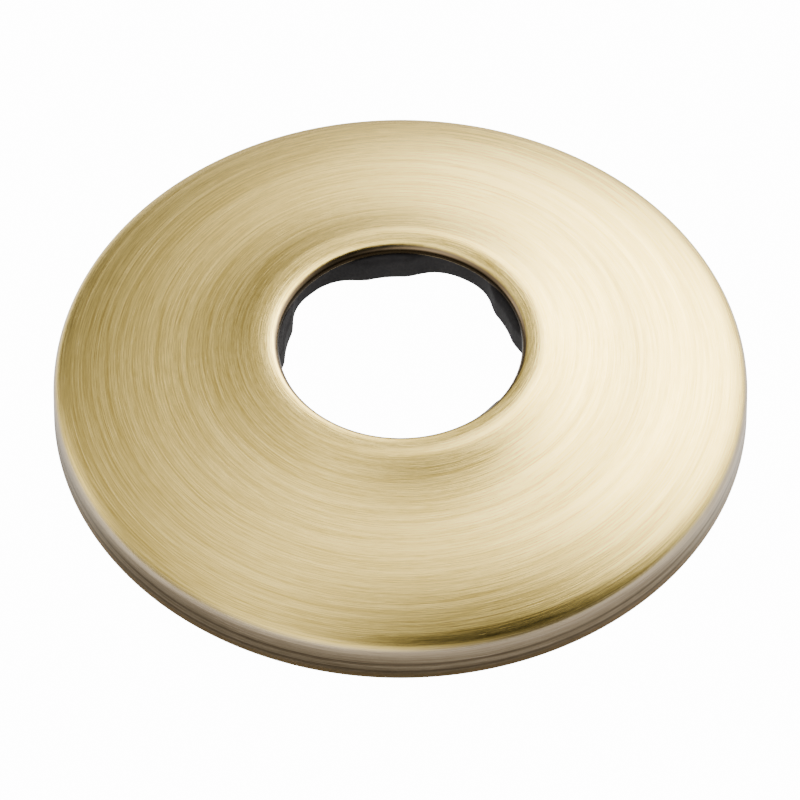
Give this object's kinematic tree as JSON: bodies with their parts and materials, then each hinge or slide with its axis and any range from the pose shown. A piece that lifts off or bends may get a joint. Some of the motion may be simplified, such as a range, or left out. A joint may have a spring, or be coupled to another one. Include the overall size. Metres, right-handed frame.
{
  "type": "wall flange",
  "caption": "Round domed brass cover plate with a raised collar and a soft grip ring inside, which hides the hole where a pipe leaves a wall.",
  "frame": {"origin": "centre of the back plane, on the pipe's axis, where the flange meets the wall", "axes": "+Z along the pipe, out of the wall; X and Y in the plane of the wall, with the first grip pad 25 degrees from +X"},
  "size_m": [0.0636, 0.0636, 0.0097],
  "materials": {
    "brushed_brass": "brushed in rings, aged tint, clear lacquer",
    "soft_rubber": "matt black"
  },
  "bodies": {
    "root": {"flange_shell": "brushed_brass", "grip_ring": "soft_rubber"}
  },
  "joints": []
}
